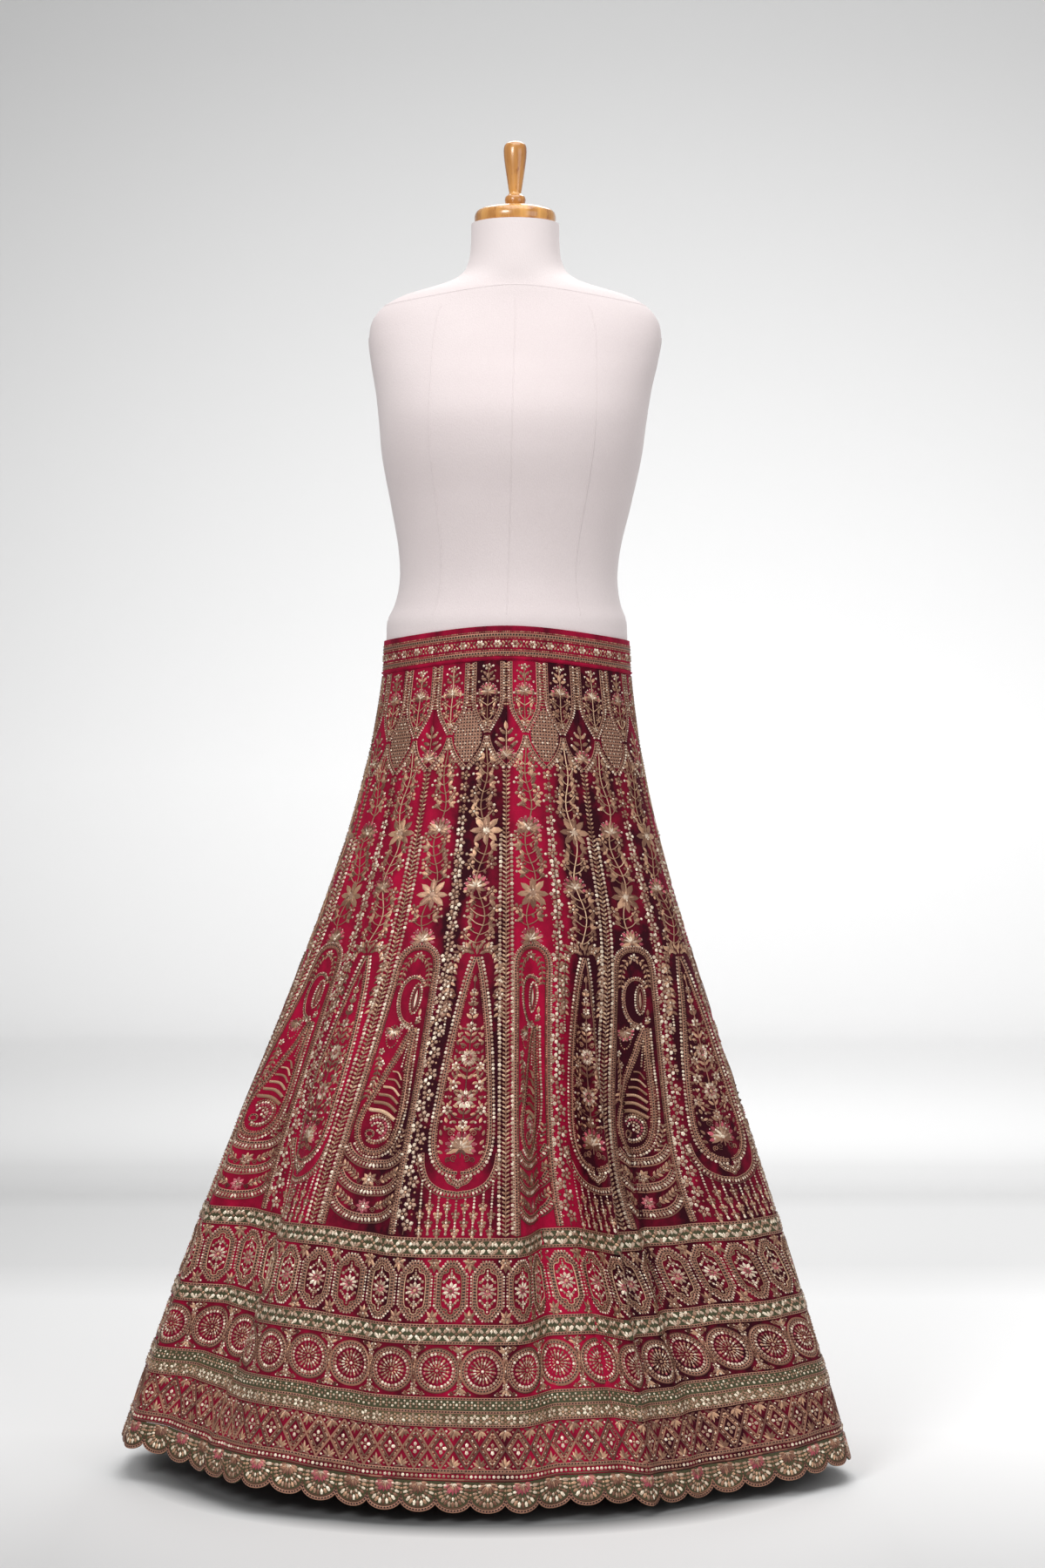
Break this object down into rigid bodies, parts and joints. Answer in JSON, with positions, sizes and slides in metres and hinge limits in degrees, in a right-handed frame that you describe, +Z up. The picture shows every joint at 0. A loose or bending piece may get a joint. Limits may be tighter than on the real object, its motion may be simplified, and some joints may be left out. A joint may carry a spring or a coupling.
{
  "type": "lehenga skirt on a dress form",
  "caption": "Floor-length flared panelled skirt with brocade bands and a scalloped edging, on a limbless dress form with a pole and round base.",
  "frame": {"origin": "middle of the stand's round base, on its underside", "axes": "+Z up the pole, -Y the front of the skirt, +X towards the right hand of someone who faces the front"},
  "size_m": [0.8548, 0.6735, 1.5726],
  "materials": {
    "velvet": "maroon velvet with gold embroidery",
    "brocade": "olive and black brocade with gold embroidery",
    "waistband": "red velvet with gold braid",
    "form_cover": "plain cotton cover",
    "turned_wood": "clear lacquer",
    "stand_metal": "satin"
  },
  "bodies": {
    "root": {"waistband": "waistband", "kali_01": "velvet", "kali_02": "velvet", "kali_03": "velvet", "kali_04": "velvet", "kali_05": "velvet", "kali_06": "velvet", "kali_07": "velvet", "kali_08": "velvet", "kali_09": "velvet", "kali_10": "velvet", "kali_11": "velvet", "kali_12": "velvet", "kali_13": "velvet", "kali_14": "velvet", "kali_15": "velvet", "kali_16": "velvet", "kali_17": "velvet", "kali_18": "velvet", "kali_19": "velvet", "kali_20": "velvet", "band_upper": "brocade", "band_middle": "brocade", "band_lower": "brocade", "scalloped_edging": "brocade", "form_torso": "form_cover", "neck_cap": "turned_wood", "finial": "turned_wood", "pole": "stand_metal", "base": "stand_metal"}
  },
  "joints": []
}
